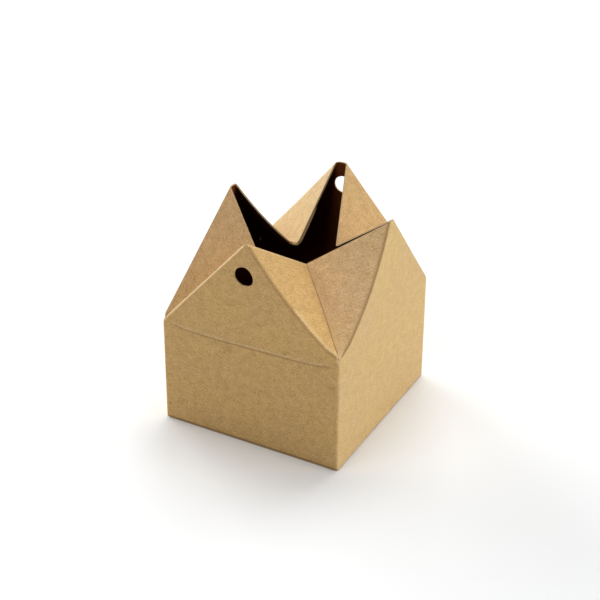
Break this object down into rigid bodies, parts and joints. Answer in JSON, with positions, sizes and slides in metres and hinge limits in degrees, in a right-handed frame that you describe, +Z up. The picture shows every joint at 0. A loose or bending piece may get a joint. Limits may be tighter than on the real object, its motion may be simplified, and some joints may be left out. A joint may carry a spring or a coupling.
{
  "type": "kraft gable box",
  "caption": "Small square favour box folded from kraft board, with four gables, tucked-in corner gussets, a star-shaped open top and two ribbon holes.",
  "frame": {"origin": "middle of the base, on the surface that the box stands on", "axes": "+Z up, -Y out of the front wall, whose gable has a ribbon hole, +X out of the right-hand wall"},
  "size_m": [0.051, 0.0525, 0.0591],
  "materials": {
    "kraft_board": "matte"
  },
  "bodies": {
    "root": {"folded_box": "kraft_board"}
  },
  "joints": []
}
